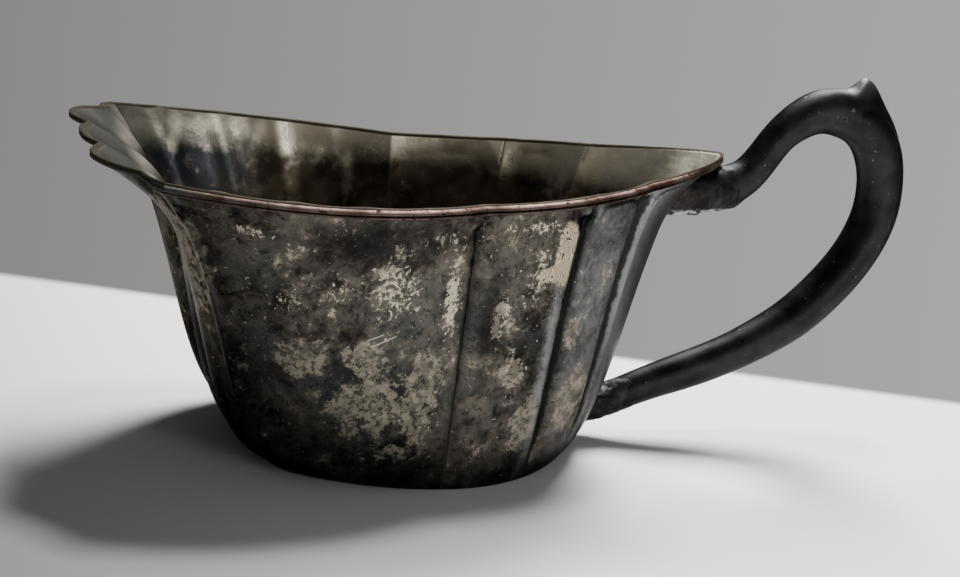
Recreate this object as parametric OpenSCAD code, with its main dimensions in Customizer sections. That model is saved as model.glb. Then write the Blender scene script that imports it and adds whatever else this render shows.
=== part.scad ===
// Silver cream jug: an oval, fluted sheet body with a scalloped pouring lip,
// a grooved wire around the rim and a cast loop handle soldered on at two places.
// +X runs from the lip to the handle, Y = 0 is the plane of symmetry, and Z = 0 is
// the surface that the jug stands on, under the middle of its flat base.

/* [Mouth] */
// Length of the mouth, from the tip of the lip to the handle end
mouth_length = 110; // [104:1:116]
// Width of the mouth at its widest
mouth_width = 61; // [58:1:64]
// Height of the rim where it is lowest, along the sides
rim_height = 48; // [46:1:52]
// Height of the lip above the lowest part of the rim
lip_rise = 2.5; // [2:0.5:5]
// Height of the rim's handle end above its lowest part
heel_rise = 4.5; // [3:0.5:6]
// How far the lip flares out past the wall under it
lip_flare = 9.5; // [7:0.5:11]
// How far the rim's handle end flares out past the wall under it
heel_flare = 6.5; // [5:0.5:7.5]

/* [Base] */
// Length of the flat base
base_length = 49; // [46:1:54]
// Width of the flat base
base_width = 44; // [40:1:46]

/* [Sheet] */
// Thickness of the body's sheet and of the base plate
sheet = 0.9; // [0.7:0.1:1.1]
// Depth of the creases between the flutes
crease_depth = 1.0; // [0.6:0.1:1.4]
// Distance across one side of a crease
crease_width = 2.4; // [1.8:0.1:3]
// Plain band between the rim and the tops of the flutes
collar = 3.5; // [3:0.5:5]

/* [Rim wire] */
// Height of the wire, measured down the wall
wire_height = 1.5; // [1.2:0.1:1.8]
// How far the wire stands out from the wall
wire_stand = 0.8; // [0.6:0.1:1]

/* [Handle] */
// How far the handle's back stands out past the rim
handle_reach = 38; // [36:0.5:40]
// Height of the handle's top, without the thumb spur
handle_top = 65.5; // [64.5:0.5:67]
// Thickness of the handle at its back
handle_thickness = 8.6; // [8:0.1:9]
// Height of the thumb spur above the handle's back
spur_height = 3.5; // [3:0.5:4.5]

/* [Hidden] */

tarnished_silver = [0.33, 0.31, 0.29];
worn_copper = [0.62, 0.47, 0.40];
dark_cast_metal = [0.16, 0.17, 0.18];
dull_solder = [0.45, 0.45, 0.44];

// ---- Mouth outline ----
// Half of the mouth, from its handle end round to the tip of the lip. Each row is one corner of
// the scalloped outline: how far it lies towards the lip as a fraction of the mouth's length,
// its distance from the plane of symmetry as a fraction of half the mouth's width, and how far
// the lobe from here to the next corner bows outwards in mm.
CORNERS = [
    [0.000, 0.00, 2.5],
    [0.180, 0.46, 0.6],
    [0.300, 0.67, 0.6],
    [0.485, 0.81, 4.9],
    [0.930, 0.89, 0.5],
    [0.955, 0.73, 3.4],
    [0.993, 0.23, 1.4],
    [0.993, 0.00, 0.0]
];
SPANS = len(CORNERS) - 1;
// The last corner that is also a crease down the wall; the ones after it notch only the lip
LAST_CREASE = 4;
heel_x = 0.47 * mouth_length;

function corner(k) = [heel_x - CORNERS[k][0] * mouth_length, -CORNERS[k][1] * mouth_width / 2];
function unit(v) = v / norm(v);
function mix(a, b, s) = a + (b - a) * s;
function clamp01(v) = max(0, min(1, v));
function right_of(d) = [d[1], -d[0]];

// Bow of a lobe along its span: an even arch. The first one is fullest near the handle end, so
// that the mouth is round there. The last one is half an arch, because the lobe at the tip of
// the lip reaches from its corner to that corner's mirror image.
HEEL_BOW = 2.2;
HEEL_BOW_POWER = 0.6;
function bow(k, s) =
    k == 0 ? HEEL_BOW * pow(s, HEEL_BOW_POWER) * (1 - s) :
    k == SPANS - 1 ? s * (2 - s) :
    4 * s * (1 - s);

// Place on the half outline at u, where whole values of u are the corners
function half_plan(u) =
    let (k = min(floor(u), SPANS - 1), s = u - k, a = corner(k), b = corner(k + 1))
    mix(a, b, s) - right_of(unit(b - a)) * CORNERS[k][2] * bow(k, s);

// The same place on the whole outline: u runs from 0 at the handle end to SPANS at the lip's
// tip and back to 2 * SPANS along the other side
function side(u) = u <= SPANS ? 1 : -1;
function folded(u) = u <= SPANS ? u : 2 * SPANS - u;
function rim_plan(u) = let (p = half_plan(folded(u))) [p[0], side(u) * p[1]];

// Height of the rim: lowest along the sides, rising to the lip and to the handle end
LIP_RISE_POWER = 2;
HEEL_RISE_POWER = 1.6;
function rim_z(x) =
    let (towards_lip = clamp01((heel_x - x) / mouth_length - 0.5) / 0.5,
         towards_heel = clamp01(0.5 - (heel_x - x) / mouth_length) / 0.5)
    rim_height + lip_rise * pow(towards_lip, LIP_RISE_POWER)
        + heel_rise * pow(towards_heel, HEEL_RISE_POWER);

// ---- Wall ----
// Share of the lip's flare at u: none up to the last crease, all of it at the lip's notches
function lip_share(u) = clamp01((folded(u) - LAST_CREASE) / (SPANS - 1 - LAST_CREASE));
// Share of the flare at the handle end: all of it at the end, none past the first crease
function heel_share(u) = clamp01(1 - folded(u));
// Outline of the straight wall carried up to the rim's height, which lies inside the flared rim
LIP_FLARE_POWER = 1.2;
function wall_plan(u) =
    rim_plan(u) + [lip_flare * pow(lip_share(u), LIP_FLARE_POWER) - heel_flare * heel_share(u), 0];

// Outline of the flat base, seen in the same direction as the wall above it
unflared_length = mouth_length - lip_flare - heel_flare;
function base_plan(u) =
    let (p = wall_plan(u), a = atan2(p[1] / mouth_width, p[0] / unflared_length))
    [cos(a) * base_length / 2, sin(a) * base_width / 2];

// Rise of the wall from the base, t = 0, to the rim, t = 1, as a Bezier curve that leaves the
// base level, turns up through a round shoulder and ends in a straight slope
SHOULDER_OUT = 0.64;
SHOULDER_UP = 0.57;
SHOULDER_TURN = 0.51;
function slope_out(t) =
    3 * pow(1 - t, 2) * t * SHOULDER_OUT + 3 * (1 - t) * t * t * SHOULDER_TURN + pow(t, 3);
function slope_up(t) = 3 * (1 - t) * t * t * SHOULDER_UP + pow(t, 3);

// The lip's flare turns outwards over the top quarter of the wall
FLARE_START = 0.77;
function flare_out(t) = pow(clamp01((slope_up(t) - FLARE_START) / (1 - FLARE_START)), 2);

// Creases run down between the flutes. They fade out below the collar, and over the lowest part
// of the wall, a share of its height.
CREASE_FOOT = 0.125;
function crease_at(u) =
    let (h = folded(u), k = round(h), near = min(floor(h), SPANS - 1),
         length = norm(corner(near + 1) - corner(near)), away = abs(h - k) * length)
    k >= 1 && k <= LAST_CREASE ? crease_depth * exp(-pow(away / crease_width, 2)) : 0;
function crease_fade(t) =
    let (down = (1 - slope_up(t)) * rim_height)
    clamp01((down - collar) / collar) * clamp01(slope_up(t) / CREASE_FOOT);

// Steps along u and t over which the wall's directions are taken
PLAN_STEP = 0.02;
SLOPE_STEP_U = 0.03;
SLOPE_STEP_T = 0.01;

// Direction straight out from the rim, seen from above
function outward(u) =
    let (d = rim_plan(min(u + PLAN_STEP, 2 * SPANS)) - rim_plan(max(u - PLAN_STEP, 0)))
    u == 0 || u == 2 * SPANS ? [1, 0] : right_of(unit(d)) * -1;

// Place on the outside of the wall
function wall_point(u, t) =
    let (b = base_plan(u), w = wall_plan(u), r = rim_plan(u),
         p = mix(b, w, slope_out(t)) + (r - w) * flare_out(t)
             - outward(u) * crease_at(u) * crease_fade(t))
    [p[0], p[1], rim_z(r[0]) * slope_up(t)];

// Direction square to the outside of the wall
function wall_normal(u, t) =
    let (before = u == 0 ? 2 * SPANS - SLOPE_STEP_U : u - SLOPE_STEP_U,
         along = wall_point(u + SLOPE_STEP_U, t) - wall_point(before, t),
         up = wall_point(u, min(t + SLOPE_STEP_T, 1)) - wall_point(u, max(t - SLOPE_STEP_T, 0)))
    unit(cross(up, along));

// ---- Grid over the wall ----
// Steps along each span of the half outline, closest together near the corners
STEPS = [8, 6, 7, 12, 4, 7, 4];
// Even steps drawn closer together towards both ends, the more so the stronger
CORNER_EASING = 0.7;
RING_EASING = 0.4;
HEEL_EASING = 1.5;
function eased(s, strength) = s - sin(360 * s) / (2 * PI) * strength;
function span_eased(k, s) = k == 0 ? pow(s, HEEL_EASING) : eased(s, CORNER_EASING);
HALF = [for (k = [0 : SPANS - 1]) for (i = [0 : STEPS[k] - 1]) k + span_eased(k, i / STEPS[k])];
AROUND = concat(HALF, [SPANS], [for (i = [len(HALF) - 1 : -1 : 1]) 2 * SPANS - HALF[i]]);
COLUMNS = len(AROUND);

// Rings up the wall, closest together at the base and the rim; the last gap between rings is
// the height of the rim wire
RINGS = 24;
wire_t = wire_height / rim_height / (3 * (1 - SHOULDER_UP));
function ring_t(i) = i == RINGS - 1 ? 1 : (1 - wire_t) * eased(i / (RINGS - 2), RING_EASING);
function skin_direction(i, j) = i == 0 ? [0, 0, -1] : wall_normal(AROUND[j], ring_t(i));
OUTSIDE = [for (i = [0 : RINGS - 1]) [for (u = AROUND) wall_point(u, ring_t(i))]];
INSIDE = [for (i = [0 : RINGS - 1])
    [for (j = [0 : COLUMNS - 1]) OUTSIDE[i][j] - sheet * skin_direction(i, j)]];

// ---- Solids from rings of points ----
function flatten(rows) = [for (row = rows) for (item = row) item];

// Faces of a band between ring a and ring b of n points each
function band(a, b, n) = [for (j = [0 : n - 1]) let (k = (j + 1) % n)
    each [[a * n + j, b * n + j, b * n + k], [a * n + j, b * n + k, a * n + k]]];

// A tube of rings that closes on itself, such as the wire or the skin of the wall
module closed_tube(rings) {
    n = len(rings[0]);
    m = len(rings);
    polyhedron(flatten(rings), [for (i = [0 : m - 1]) each band(i, (i + 1) % m, n)], convexity = 10);
}

// A solid through a row of rings, closed by a fan at each end
module loft(rings) {
    n = len(rings[0]);
    m = len(rings);
    first_end = [for (j = [1 : n - 2]) [0, j, j + 1]];
    last_end = [for (j = [1 : n - 2]) [(m - 1) * n, (m - 1) * n + j + 1, (m - 1) * n + j]];
    polyhedron(flatten(rings),
        concat([for (i = [0 : m - 2]) each band(i, i + 1, n)], first_end, last_end), convexity = 10);
}

// ---- Handle ----
// Course of the handle from its lower root, around the back, to its upper end. Each row gives
// the place as a fraction of the reach past the rim and of the handle's top height, and the
// thickness as a fraction of the thickness at the back.
COURSE = [
    [-0.39, 0.107, 0.69],
    [-0.18, 0.154, 0.75],
    [0.00, 0.189, 0.81],
    [0.20, 0.235, 0.84],
    [0.38, 0.289, 0.90],
    [0.57, 0.362, 0.95],
    [0.77, 0.499, 0.98],
    [0.88, 0.638, 1.00],
    [0.87, 0.763, 1.00],
    [0.81, 0.860, 1.04],
    [0.71, 0.916, 1.05],
    [0.59, 0.937, 1.00],
    [0.48, 0.939, 0.93],
    [0.38, 0.914, 0.84],
    [0.28, 0.866, 0.73],
    [0.20, 0.794, 0.73],
    [0.13, 0.745, 0.78],
    [0.04, 0.716, 0.88]
];
RING_POINTS = 16;
COURSE_STEPS = 4;

function course_point(k) =
    let (c = COURSE[max(0, min(len(COURSE) - 1, k))])
    [heel_x + c[0] * handle_reach, c[1] * handle_top, c[2] * handle_thickness / 2];
function catmull_rom(a, b, c, d, s) =
    b + (c - a) * s / 2 + (2 * a - 5 * b + 4 * c - d) * s * s / 2
        + (3 * b - a - 3 * c + d) * s * s * s / 2;
function course_at(v) =
    let (k = min(floor(v), len(COURSE) - 2))
    catmull_rom(course_point(k - 1), course_point(k), course_point(k + 1), course_point(k + 2), v - k);

// The thumb spur is a swelling of the outer side, steep towards the body and long down the
// back. Its place and its two widths are in rows of the course.
SPUR_AT = 10.7;
SPUR_STEEP = 0.35;
SPUR_LONG = 0.8;
SPUR_RIDGE_POWER = 3;
function spur_rise(v) =
    let (d = v - SPUR_AT)
    spur_height * exp(-pow(d / (d > 0 ? SPUR_STEEP : SPUR_LONG), 2));

// One ring of the handle: its points start on the inner side of the loop
SECTION_WIDTH = 0.94;
COURSE_SLOPE_STEP = 0.05;
function handle_ring(v) =
    let (c = course_at(v), e = COURSE_SLOPE_STEP,
         d = course_at(min(v + e, len(COURSE) - 1)) - course_at(max(v - e, 0)),
         along = unit([d[0], d[1]]), inward = [-along[1], along[0]])
    [for (j = [0 : RING_POINTS - 1])
        let (a = 360 * j / RING_POINTS,
             spur = spur_rise(v) * pow(max(0, -cos(a)), SPUR_RIDGE_POWER),
             reach = c[2] * cos(a) - spur)
        [c[0] + inward[0] * reach, -c[2] * SECTION_WIDTH * sin(a), c[1] + inward[1] * reach]];

HANDLE_LAST = (len(COURSE) - 1) * COURSE_STEPS;
function handle_ring_no(i) = handle_ring(i / COURSE_STEPS);

// ---- Solder joints ----
// Each joint covers a square patch of the wall's grid at the handle end, PATCH cells to each
// side, and closes in on the end ring of the handle
PATCH = 2;
LOWER_PATCH_RING = 7;
UPPER_PATCH_RING = 19;
// How far along from the patch to the handle its middle ring is
JOINT_WAIST = 0.55;

// Edge of the patch, starting at the middle of its top and going round by -Y first
function patch_edge(ring) =
    let (p = PATCH,
         loop = concat(
             [for (c = [0 : p]) [c, p]], [for (r = [p - 1 : -1 : -p]) [p, r]],
             [for (c = [p - 1 : -1 : -p]) [c, -p]], [for (r = [-p + 1 : p]) [-p, r]],
             [for (c = [-p + 1 : -1]) [c, p]]))
    [for (g = loop) OUTSIDE[ring + g[1]][(g[0] + COLUMNS) % COLUMNS]];

// The same ring with its points counted from the outer side of the handle's loop
function turned(ring) = [for (j = [0 : RING_POINTS - 1]) ring[(RING_POINTS * 3 / 2 - j) % RING_POINTS]];
function blend_rings(a, b, s) = [for (j = [0 : len(a) - 1]) mix(a[j], b[j], s)];

module solder_joint(patch_ring, handle_end) {
    edge = patch_edge(patch_ring);
    p = PATCH;
    n = RING_POINTS;
    rings = [edge, blend_rings(edge, handle_end, JOINT_WAIST), handle_end];
    inner = [for (r = [-p : p]) for (c = [-p : p]) OUTSIDE[patch_ring + r][(c + COLUMNS) % COLUMNS]];
    first = 3 * n;
    width = 2 * p + 1;
    patch_faces = [for (r = [0 : 2 * p - 1]) for (c = [0 : 2 * p - 1])
        let (q = first + r * width + c)
        each [[q, q + width + 1, q + 1], [q, q + width, q + width + 1]]];
    end_faces = [for (j = [1 : n - 2]) [2 * n, 2 * n + j + 1, 2 * n + j]];
    sides = concat(band(0, 1, n), band(1, 2, n));
    polyhedron(concat(flatten(rings), inner), concat(sides, end_faces, patch_faces), convexity = 6);
}

// ---- Pieces ----
module body_wall() {
    color(tarnished_silver)
        closed_tube(concat(OUTSIDE, [for (i = [RINGS - 1 : -1 : 0]) INSIDE[i]]));
}

module base_plate() {
    color(tarnished_silver)
        linear_extrude(height = sheet) polygon([for (u = AROUND) base_plan(u)]);
}

// Section of the rim wire: two beads with a groove between them. Each row is the place up the
// wire's height and the stand-out from the wall, both as fractions.
BEADS = [
    [0, 0], [0.02, 0.6], [0.2, 1], [0.42, 0.85], [0.55, 0.4], [0.68, 0.95], [0.88, 1.15], [1.08, 0.7]
];
// The wire is thinner around the lip
LIP_WIRE_STAND = 0.6;
module rim_wire() {
    low = RINGS - 2;
    color(worn_copper)
        closed_tube([for (j = [0 : COLUMNS - 1])
            let (a = OUTSIDE[low][j], b = OUTSIDE[low + 1][j], out = wall_normal(AROUND[j], 1),
                 stand = wire_stand * mix(1, LIP_WIRE_STAND, lip_share(AROUND[j])))
            concat([for (bead = BEADS) mix(a, b, bead[0]) + out * stand * bead[1]], [b])]);
}

module handle() {
    color(dark_cast_metal)
        loft([for (i = [0 : HANDLE_LAST]) handle_ring_no(i)]);
}

module upper_solder() {
    color(dull_solder) solder_joint(UPPER_PATCH_RING, turned(handle_ring_no(HANDLE_LAST)));
}

module lower_solder() {
    color(dull_solder) solder_joint(LOWER_PATCH_RING, handle_ring_no(0));
}

body_wall();
base_plate();
rim_wire();
handle();
upper_solder();
lower_solder();
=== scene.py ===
"""Looks of the silver cream jug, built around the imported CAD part.

The wall, rim wire, handle and solder joints are modelled again here in fine detail and stand
for the CAD nodes of the same place. Shapes are worked out in millimetres and become metres
when a mesh is made. +X runs from the lip to the handle and the jug is symmetrical about Y = 0.
"""

import math

import bmesh
import bpy
import numpy as np
from mathutils import Matrix, Vector


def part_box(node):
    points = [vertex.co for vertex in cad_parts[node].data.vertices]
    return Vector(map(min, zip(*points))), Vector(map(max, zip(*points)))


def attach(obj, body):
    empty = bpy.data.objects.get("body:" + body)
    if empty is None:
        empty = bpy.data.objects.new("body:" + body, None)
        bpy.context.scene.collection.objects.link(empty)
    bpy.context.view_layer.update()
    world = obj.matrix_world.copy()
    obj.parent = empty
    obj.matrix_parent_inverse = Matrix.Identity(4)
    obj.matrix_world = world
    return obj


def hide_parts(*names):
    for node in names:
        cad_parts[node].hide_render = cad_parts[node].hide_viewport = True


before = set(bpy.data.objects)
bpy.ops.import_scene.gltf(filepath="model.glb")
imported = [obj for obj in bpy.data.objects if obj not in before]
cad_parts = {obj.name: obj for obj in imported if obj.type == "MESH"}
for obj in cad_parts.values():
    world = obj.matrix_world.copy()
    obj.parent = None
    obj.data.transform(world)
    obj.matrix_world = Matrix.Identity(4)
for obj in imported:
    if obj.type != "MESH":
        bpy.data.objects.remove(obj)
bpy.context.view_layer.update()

MM = 0.001

# ---- Driving sizes, from the frame ----
_, wall_high = (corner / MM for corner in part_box("body_wall"))
plate_low, plate_high = (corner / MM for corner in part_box("base_plate"))
wire_low, wire_high = (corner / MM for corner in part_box("rim_wire"))

# Share of the mouth's length that lies on the handle's side of the origin, and the share of the
# wall's whole width that lies between the corners, without the bow of the lobes
HEEL_SHARE = 0.47
WIDTH_SHARE = 0.99

HEEL_X = wall_high.x
MOUTH_LENGTH = HEEL_X / HEEL_SHARE
MOUTH_WIDTH = 2 * WIDTH_SHARE * wall_high.y
WIRE_HEIGHT = 1.5
RIM_HEIGHT = wire_low.z + WIRE_HEIGHT
HEEL_RISE = wire_high.z - RIM_HEIGHT
LIP_RISE = 2.5
BASE_LENGTH = plate_high.x - plate_low.x
BASE_WIDTH = plate_high.y - plate_low.y
SHEET = plate_high.z - plate_low.z
HEEL_TOP = wire_high.z

# ---- Point of view ----
# Angles in degrees and distances in mm. FOCAL_SHARE is the focal length as a share of the
# picture's width, and the table ends at TABLE_END behind the jug.
AZIMUTH = -22.0
ELEVATION = 16.5
ROLL = 7.7
DISTANCE = 280.7
FOCAL_SHARE = 1.712083
TARGET = Vector((9.4, 0, 27.1))
TABLE_END = 58.0

# ---- Mouth outline: half of it, from the handle end round to the tip of the lip ----
# Each row is a corner of the scalloped outline: fraction of the mouth's length towards the lip,
# fraction of half its width, and the bow in mm of the lobe from here to the next corner.
CORNERS = np.array([
    [0.000, 0.00, 2.5],
    [0.180, 0.46, 0.6],
    [0.300, 0.67, 0.6],
    [0.485, 0.81, 4.9],
    [0.930, 0.89, 0.5],
    [0.955, 0.73, 3.4],
    [0.993, 0.23, 1.4],
    [0.993, 0.00, 0.0],
])
SPANS = len(CORNERS) - 1
# The last corner that is also a groove down the wall; the ones after it notch only the lip
LAST_CREASE = 4
HEEL_BOW = 2.2
HEEL_BOW_POWER = 0.6
CORNER_POINTS = np.column_stack([
    HEEL_X - CORNERS[:, 0] * MOUTH_LENGTH,
    -CORNERS[:, 1] * MOUTH_WIDTH / 2,
])
SPAN_LENGTHS = np.linalg.norm(np.diff(CORNER_POINTS, axis=0), axis=1)


def smooth(value):
    """Smooth step from 0 to 1 as value goes from 0 to 1."""
    value = np.clip(value, 0, 1)
    return value * value * (3 - 2 * value)


def folded(u):
    """u on the half outline that a place on the whole outline mirrors."""
    return np.where(u <= SPANS, u, 2 * SPANS - u)


def rim_plan(u):
    """Place on the whole mouth outline: u is 0 at the handle end and SPANS at the lip's tip.

    A lobe bows as an even arch. The first one is fullest near the handle end and the last one
    is half an arch, because it goes on beyond the tip.
    """
    half = folded(u)
    span = np.minimum(np.floor(half), SPANS - 1).astype(int)
    s = half - span
    start = CORNER_POINTS[span]
    end = CORNER_POINTS[span + 1]
    along = (end - start) / SPAN_LENGTHS[span][:, None]
    bow = np.select(
        [span == 0, span == SPANS - 1],
        [HEEL_BOW * s ** HEEL_BOW_POWER * (1 - s), s * (2 - s)],
        4 * s * (1 - s),
    ) * CORNERS[span, 2]
    outward = np.column_stack([-along[:, 1], along[:, 0]])
    place = start + (end - start) * s[:, None] + outward * bow[:, None]
    place[:, 1] *= np.where(u <= SPANS, 1, -1)
    return place


LIP_RISE_POWER = 2
HEEL_RISE_POWER = 1.6


def rim_height_at(x):
    """Height of the rim: lowest along the sides, rising to the lip and to the handle end."""
    from_middle = (HEEL_X - x) / MOUTH_LENGTH - 0.5
    towards_lip = np.clip(from_middle, 0, 0.5) * 2
    towards_heel = np.clip(-from_middle, 0, 0.5) * 2
    rise = LIP_RISE * towards_lip ** LIP_RISE_POWER + HEEL_RISE * towards_heel ** HEEL_RISE_POWER
    return RIM_HEIGHT + rise


# ---- Wall ----
# How far in mm the lip and the handle end flare out beyond the wall below them
LIP_FLARE = 9.5
LIP_FLARE_POWER = 1.2
HEEL_FLARE = 6.5
FLARE_START = 0.77
# Shares of the way out and up that shape the curve of the flank
SHOULDER_OUT = 0.64
SHOULDER_UP = 0.57
SHOULDER_TURN = 0.51
# Stretch of u over which the lobes of the lip are blended below the flare
LIP_BLEND = 0.28
BLEND_SAMPLES = 61


def lip_share(u):
    """0 as far as the last groove, 1 on the front of the lip."""
    return np.clip((folded(u) - LAST_CREASE) / (SPANS - 1 - LAST_CREASE), 0, 1)


def wall_plan(u):
    """Outline that the wall follows below its flare, where the lobes of the lip are blended."""
    blend = LIP_BLEND * smooth(folded(u) - LAST_CREASE)
    shifts = np.linspace(-1, 1, BLEND_SAMPLES)
    nearby = [rim_plan(np.clip(u + shift * blend, 0, 2 * SPANS)) for shift in shifts]
    place = np.average(nearby, axis=0, weights=1.01 - shifts ** 2)
    place[:, 0] += LIP_FLARE * lip_share(u) ** LIP_FLARE_POWER
    place[:, 0] -= HEEL_FLARE * np.clip(1 - folded(u), 0, 1)
    return place


def base_plan(u):
    """Oval outline of the base, at the same angle as the wall above it."""
    place = wall_plan(u)
    straight_length = MOUTH_LENGTH - LIP_FLARE - HEEL_FLARE
    angle = np.arctan2(place[:, 1] / MOUTH_WIDTH, place[:, 0] / straight_length)
    return np.column_stack([np.cos(angle) * BASE_LENGTH / 2, np.sin(angle) * BASE_WIDTH / 2])


def slope_out(t):
    """Share of the way from the base to the rim's outline, from the foot, t = 0, to t = 1."""
    return 3 * (1 - t) ** 2 * t * SHOULDER_OUT + 3 * (1 - t) * t * t * SHOULDER_TURN + t ** 3


def slope_up(t):
    """Share of the rim's height at the same t."""
    return 3 * (1 - t) * t * t * SHOULDER_UP + t ** 3


def outward_in_plan(u):
    """Outward direction at each u, taken over a stretch so that it turns softly at corners."""
    stretch = 0.1
    ahead = rim_plan((u + stretch) % (2 * SPANS))
    behind = rim_plan((u - stretch) % (2 * SPANS))
    along = ahead - behind
    normal = np.column_stack([-along[:, 1], along[:, 0]])
    return normal / np.linalg.norm(normal, axis=1)[:, None]


# ---- Flutes ----
# The wall is pressed into raised panels with a V groove between them. Each row is a groove,
# from the handle end: its depth, half its width, then for the panel on its lip side how far
# below the rim it ends, and how high it stands over the collar above its arched top.
GROOVES = np.array([
    [0.0, 1.0, 2.6, 0.32],
    [1.4, 2.6, 2.2, 0.32],
    [1.2, 1.7, 3.2, 0.10],
    [0.60, 2.2, 3.6, 0.00],
    [0.5, 3.2, 4.0, 0.00],
])
ARCH_RADIUS = 2.8
GROOVE_POWER = 1.3
COLLAR_BLEND = 1.6
STEP_WIDTH = 0.7
# The inside follows the flutes with wider, softer grooves
INSIDE_SOFTNESS = 2.2


def relief(u, height_share, rim_z, softness=1.0):
    """Depth in mm that each place on the wall lies below the panels' own surface."""
    half = folded(u)
    nearest = np.clip(np.round(half), 0, LAST_CREASE).astype(int)
    span = np.clip(np.floor(half), 0, SPANS - 1).astype(int)
    away = np.abs(half - nearest) * SPAN_LENGTHS[span]
    depth, reach = GROOVES[nearest, :2].T
    collar, step_height = GROOVES[np.minimum(span, LAST_CREASE), 2:].T
    reach = reach * softness
    down = (1 - height_share)[:, None] * rim_z[None, :]
    beside = (reach - away)[None, :] + ARCH_RADIUS
    above = collar[None, :] - down + ARCH_RADIUS
    past_edge = np.hypot(np.maximum(beside, 0), np.maximum(above, 0))
    distance = past_edge + np.minimum(np.maximum(beside, above), 0) - ARCH_RADIUS
    groove = depth[None, :] * np.clip(distance / reach[None, :], 0, 1) ** GROOVE_POWER
    blend = COLLAR_BLEND * softness ** 3
    in_collar = smooth((collar[None, :] + blend / 2 - down) / blend)
    step = step_height[None, :] / softness ** 3 * smooth(distance / STEP_WIDTH)
    deep = groove * (1 - in_collar) + step * in_collar
    at_foot = smooth(height_share * 5)[:, None]
    at_lip = (1 - smooth((half - LAST_CREASE) * 2))[None, :]
    return deep * at_foot * at_lip


# Soft folds that run down the lip from its notches: the corner and the width in u of each
LIP_FOLDS = [(5, 0.16), (6, 0.22)]
LIP_FOLD_DEPTH = 0.35


def lip_fold(u, height_share):
    """Depth of the folds in mm, growing from nothing below the lip."""
    half = folded(u)
    fold = sum(np.exp(-((half - corner) / width) ** 2) for corner, width in LIP_FOLDS)
    return fold[None, :] * smooth((height_share - 0.78) / 0.2)[:, None] * LIP_FOLD_DEPTH


# The inside of the long lobes is not even: shallow ridges fade out half way down. Each row is
# a ridge: its u, its width in u and its height in mm.
INSIDE_RIDGES = [(3.22, 0.04, 0.30), (3.42, 0.05, 0.40), (3.64, 0.04, 0.40), (3.86, 0.03, 0.30)]


def inside_ridges(u, height_share):
    half = folded(u)
    ridges = sum(high * np.exp(-((half - at) / width) ** 2) for at, width, high in INSIDE_RIDGES)
    return ridges[None, :] * smooth((height_share - 0.4) / 0.3)[:, None]


def wall_grid(u, t, softness=1.0):
    """Outside of the wall: an array of rings by columns by 3, in mm."""
    base = base_plan(u)
    wall = wall_plan(u)
    rim = rim_plan(u)
    out = slope_out(t)[:, None, None]
    flare = (np.clip((slope_up(t) - FLARE_START) / (1 - FLARE_START), 0, 1) ** 2)[:, None, None]
    rim_z = rim_height_at(rim[:, 0])
    plan = base[None] + (wall - base)[None] * out + (rim - wall)[None] * flare
    depth = relief(u, slope_up(t), rim_z, softness) + lip_fold(u, slope_up(t))
    plan = plan - outward_in_plan(u)[None] * depth[:, :, None]
    height = rim_z[None, :] * slope_up(t)[:, None]
    return np.concatenate([plan, height[:, :, None]], axis=2)


def grid_normals(grid):
    """Unit normals of a grid that closes on itself along its columns, pointing outwards."""
    around = np.roll(grid, -1, axis=1) - np.roll(grid, 1, axis=1)
    up = np.gradient(grid, axis=0)
    normal = np.cross(up, around)
    return normal / np.maximum(np.linalg.norm(normal, axis=2, keepdims=True), 1e-9)


def eased(count, strength):
    """count even steps from 0 to 1 drawn closer together towards both ends."""
    s = np.linspace(0, 1, count)
    return s - np.sin(2 * math.pi * s) / (2 * math.pi) * strength


def columns():
    """Values of u around the whole wall, closest together at the corners."""
    steps = [44, 30, 34, 84, 20, 44, 18]
    half = np.concatenate([k + eased(n + 1, 0.75)[:-1] for k, n in enumerate(steps)])
    return np.concatenate([half, [SPANS], 2 * SPANS - half[:0:-1]])


COLUMNS = columns()
COUNT = len(COLUMNS)
RINGS = 150
WALL_T = eased(RINGS, 0.35)
OUTSIDE = wall_grid(COLUMNS, WALL_T)
OUTSIDE_NORMALS = grid_normals(OUTSIDE)


# ---- Meshes ----
def add_mesh(name, points, faces, materials, face_materials=None):
    """A smooth-shaded mesh object from points in mm."""
    mesh = bpy.data.meshes.new(name)
    mesh.from_pydata([tuple(p) for p in np.asarray(points) * MM], [], faces)
    for material in materials:
        mesh.materials.append(material)
    if face_materials is not None:
        mesh.polygons.foreach_set("material_index", face_materials)
    mesh.polygons.foreach_set("use_smooth", [True] * len(mesh.polygons))
    mesh.validate()
    shape = bmesh.new()
    shape.from_mesh(mesh)
    bmesh.ops.recalc_face_normals(shape, faces=shape.faces)
    shape.to_mesh(mesh)
    shape.free()
    piece = bpy.data.objects.new(name, mesh)
    bpy.context.scene.collection.objects.link(piece)
    return piece


def ring_faces(rings, count, closed=False):
    """Quads between consecutive rings of count points each, counted from the first ring."""
    faces = []
    last = rings if closed else rings - 1
    for i in range(last):
        a = i * count
        b = (i + 1) % rings * count
        for j in range(count):
            k = (j + 1) % count
            faces.append((a + j, a + k, b + k, b + j))
    return faces


def set_attribute(piece, name, values):
    attribute = piece.data.attributes.new(name, "FLOAT", "POINT")
    attribute.data.foreach_set("value", np.asarray(values, dtype=np.float32))


def take_place(piece, node):
    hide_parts(node)
    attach(piece, "root")


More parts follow.
